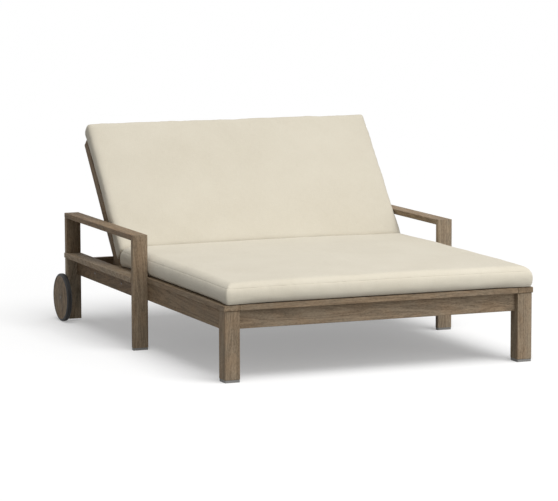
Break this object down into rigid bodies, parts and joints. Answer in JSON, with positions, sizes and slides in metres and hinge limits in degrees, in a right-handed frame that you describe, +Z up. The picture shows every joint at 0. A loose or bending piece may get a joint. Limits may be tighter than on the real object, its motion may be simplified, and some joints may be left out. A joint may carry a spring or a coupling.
{
  "type": "double chaise lounger",
  "caption": "Wide wooden garden lounger with open arms, a thick seat and back cushion, a backrest on a folding prop over notched rails, and transport wheels at the head end",
  "frame": {"origin": "on the floor under the middle of the whole object, with the backrest in its top notch", "axes": "+Y towards the head end with the wheels, -Y towards the foot end, +X to the right when looking along +Y, +Z up"},
  "size_m": [1.6086, 1.9946, 0.9222],
  "materials": {
    "weathered_wood": "weathered grey-brown timber with a fine grain and eased edges",
    "wheel_wood": "turned wooden disc, weathered like the frame",
    "cushion_fabric": "woven outdoor fabric, warm off-white, seamed round the border",
    "tyre_rubber": "black rubber, slightly dusty",
    "glide_plastic": "light grey moulded plastic",
    "stainless_steel": "brushed stainless steel, dull"
  },
  "bodies": {
    "frame": {"arm_apron_left": "weathered_wood", "arm_apron_right": "weathered_wood", "arm_board_left": "weathered_wood", "arm_board_right": "weathered_wood", "arm_bolts": "stainless_steel", "arm_front_post_left": "weathered_wood", "arm_front_post_right": "weathered_wood", "arm_lower_board_left": "weathered_wood", "arm_lower_board_right": "weathered_wood", "arm_rear_post_left": "weathered_wood", "arm_rear_post_right": "weathered_wood", "axle_bolts": "stainless_steel", "centre_beam": "weathered_wood", "foot_glides": "glide_plastic", "front_apron": "weathered_wood", "front_board": "weathered_wood", "front_leg_left": "weathered_wood", "front_leg_right": "weathered_wood", "hinge_beam": "weathered_wood", "notch_rack_left": "weathered_wood", "notch_rack_right": "weathered_wood", "pivot_bolts": "stainless_steel", "rear_apron": "weathered_wood", "rear_leg_left": "weathered_wood", "rear_leg_right": "weathered_wood", "seat_cushion": "cushion_fabric", "seat_slat_1": "weathered_wood", "seat_slat_2": "weathered_wood", "seat_slat_3": "weathered_wood", "seat_slat_4": "weathered_wood", "seat_slat_5": "weathered_wood", "seat_slat_6": "weathered_wood", "seat_slat_7": "weathered_wood", "seat_slat_8": "weathered_wood", "side_apron_left": "weathered_wood", "side_apron_right": "weathered_wood", "side_board_left": "weathered_wood", "side_board_right": "weathered_wood", "slat_ledger_left": "weathered_wood", "slat_ledger_right": "weathered_wood", "wheel_spacers": "stainless_steel"},
    "backrest": {"back_bottom_rail": "weathered_wood", "back_centre_stile": "weathered_wood", "back_cushion": "cushion_fabric", "back_slat_1": "weathered_wood", "back_slat_2": "weathered_wood", "back_slat_3": "weathered_wood", "back_slat_4": "weathered_wood", "back_slat_5": "weathered_wood", "back_stile_left": "weathered_wood", "back_stile_right": "weathered_wood", "back_top_rail": "weathered_wood", "prop_rod": "stainless_steel"},
    "prop": {"prop_foot_bar": "stainless_steel", "prop_leg_left": "weathered_wood", "prop_leg_right": "weathered_wood"},
    "wheel_left": {"wheel_disc_left": "wheel_wood", "wheel_tyre_left": "tyre_rubber"},
    "wheel_right": {"wheel_disc_right": "wheel_wood", "wheel_tyre_right": "tyre_rubber"}
  },
  "joints": [
    {"name": "recline", "type": "hinge", "parent": "frame", "child": "backrest", "pos_m": [0, 0.39775, 0.271], "axis": [1, 0, 0], "range_deg": [-50.1, 0]},
    {"name": "prop_swing", "type": "hinge", "parent": "backrest", "child": "prop", "pos_m": [0, 0.52604, 0.42443], "axis": [1, 0, 0], "range_deg": [0, 100.2]},
    {"name": "wheel_left_spin", "type": "hinge", "parent": "frame", "child": "wheel_left", "pos_m": [-0.784, 0.88575, 0.1115], "axis": [1, 0, 0], "continuous": true},
    {"name": "wheel_right_spin", "type": "hinge", "parent": "frame", "child": "wheel_right", "pos_m": [0.784, 0.88575, 0.1115], "axis": [1, 0, 0], "continuous": true}
  ],
  "couplings": [
    {"joint": "prop_swing", "follows": "recline", "ratio": -2}
  ]
}
